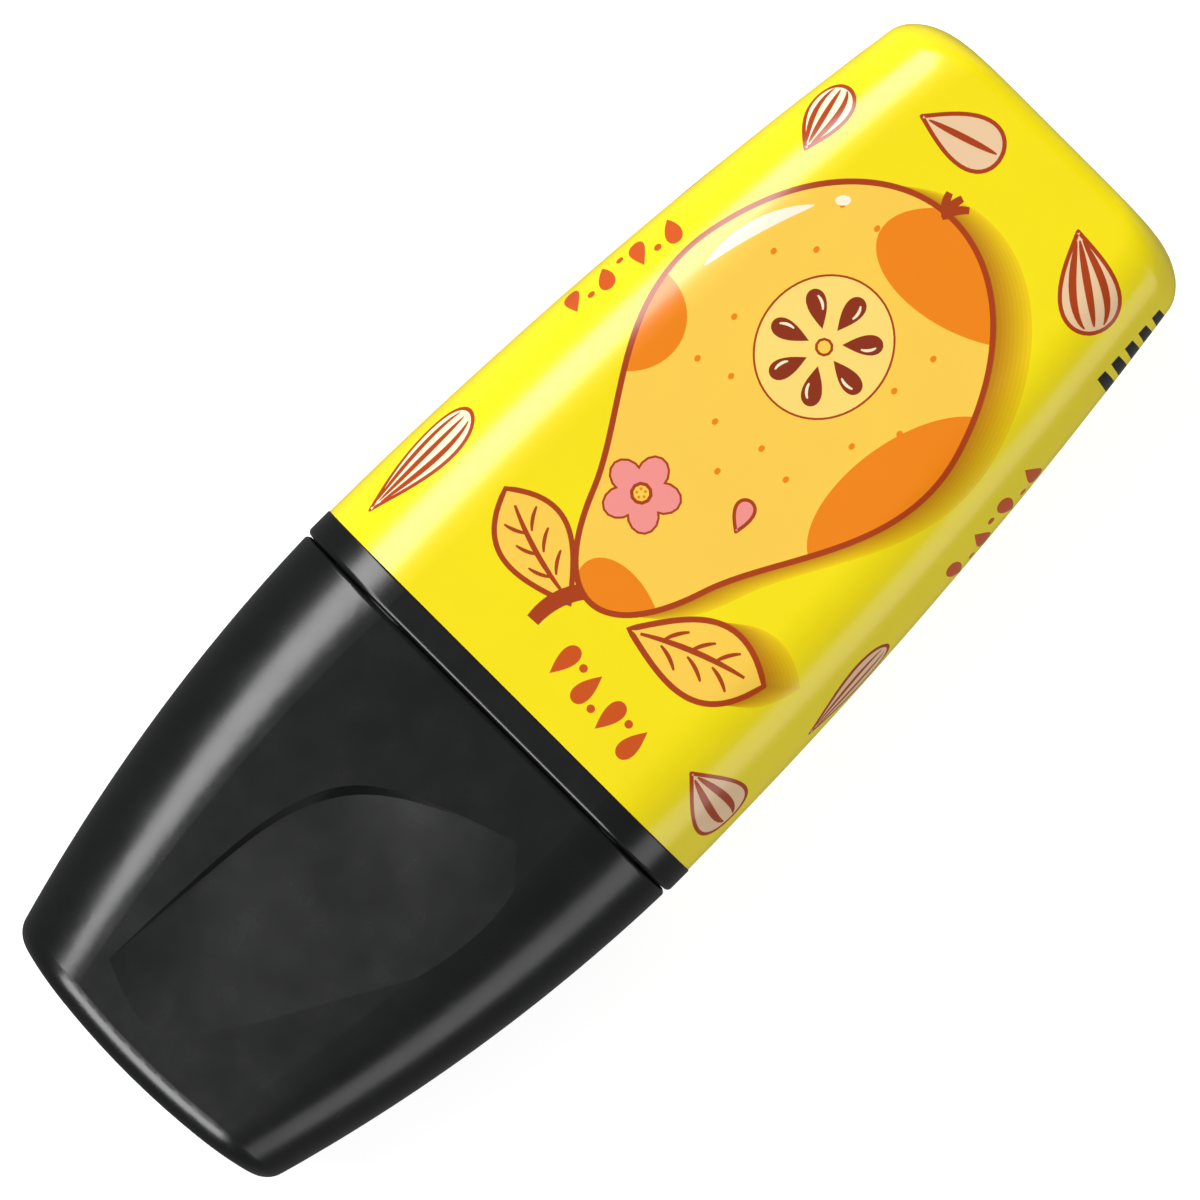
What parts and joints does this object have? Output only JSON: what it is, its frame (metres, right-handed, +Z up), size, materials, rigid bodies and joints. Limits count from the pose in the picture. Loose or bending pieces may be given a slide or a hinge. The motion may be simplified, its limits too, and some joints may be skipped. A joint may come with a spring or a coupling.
{
  "type": "highlighter",
  "caption": "Flat pocket highlighter with a pull-off cap, a patterned film sleeve on its barrel, a chisel nib and a fibre ink reservoir.",
  "frame": {"origin": "centre of the flat back that the pen lies on, midway along its capped length", "axes": "+X along the pen from the cap's closed end to the barrel's rear, +Y across its width, +Z up out of the broad face"},
  "size_m": [0.074, 0.0286, 0.016],
  "materials": {
    "film": "printed shrink film, glossy",
    "barrel_plastic": "moulded polypropylene, satin",
    "black_plastic": "moulded polypropylene, satin gloss",
    "nib_fibre": "bonded fibre soaked in fluorescent ink",
    "reservoir_fibre": "polyester fibre, wet",
    "wrap_film": "thin translucent film",
    "liner_plastic": "natural polyethylene, milky"
  },
  "bodies": {
    "pen": {"barrel": "barrel_plastic", "printed_sleeve": "film", "front_section": "black_plastic", "nib": "nib_fibre", "ink_reservoir": "reservoir_fibre", "reservoir_wrap": "wrap_film"},
    "cap": {"cap_shell": "black_plastic", "inner_cap": "liner_plastic"}
  },
  "joints": [
    {"name": "cap_pull", "type": "slide", "parent": "pen", "child": "cap", "axis": [-1, 0, 0], "range_m": [0, 0.032]}
  ]
}
